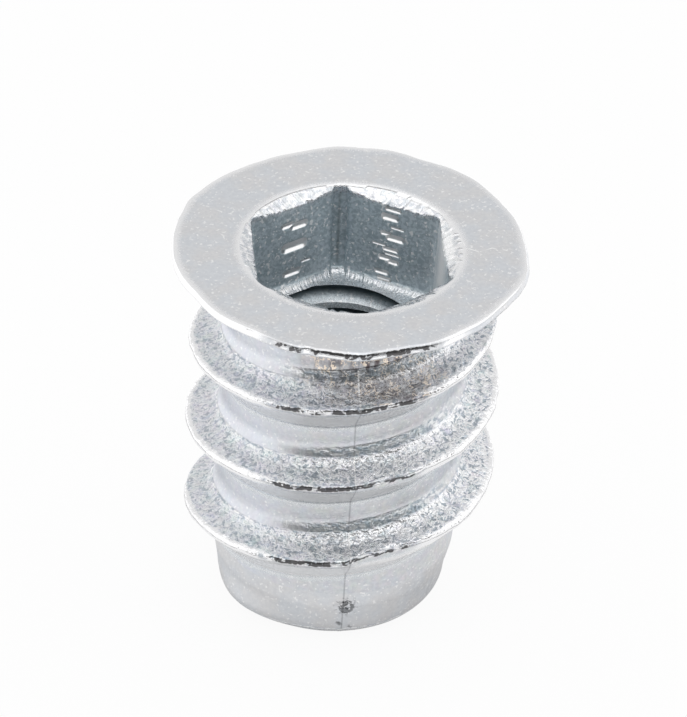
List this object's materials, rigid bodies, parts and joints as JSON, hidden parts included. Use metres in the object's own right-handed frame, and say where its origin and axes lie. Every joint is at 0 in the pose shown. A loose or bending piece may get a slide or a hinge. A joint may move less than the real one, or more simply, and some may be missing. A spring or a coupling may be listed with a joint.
{
  "type": "threaded insert",
  "caption": "Flanged hex-drive insert for wood, die-cast in zinc: a coarse sharp thread outside, a machine-thread bore and a hexagon socket inside, and a rounded pilot tip.",
  "frame": {"origin": "centre of the flat ring that ends the pilot tip, on the axis of the bore", "axes": "+Z along the axis from the pilot tip to the flange, and +Y towards one corner of the hexagon socket, in the parting plane of the die"},
  "size_m": [0.016, 0.0164, 0.0184],
  "materials": {
    "zinc_casting": "zinc die casting with a bright zinc plating, slightly hammered by the die"
  },
  "bodies": {
    "root": {"insert_body": "zinc_casting"}
  },
  "joints": []
}
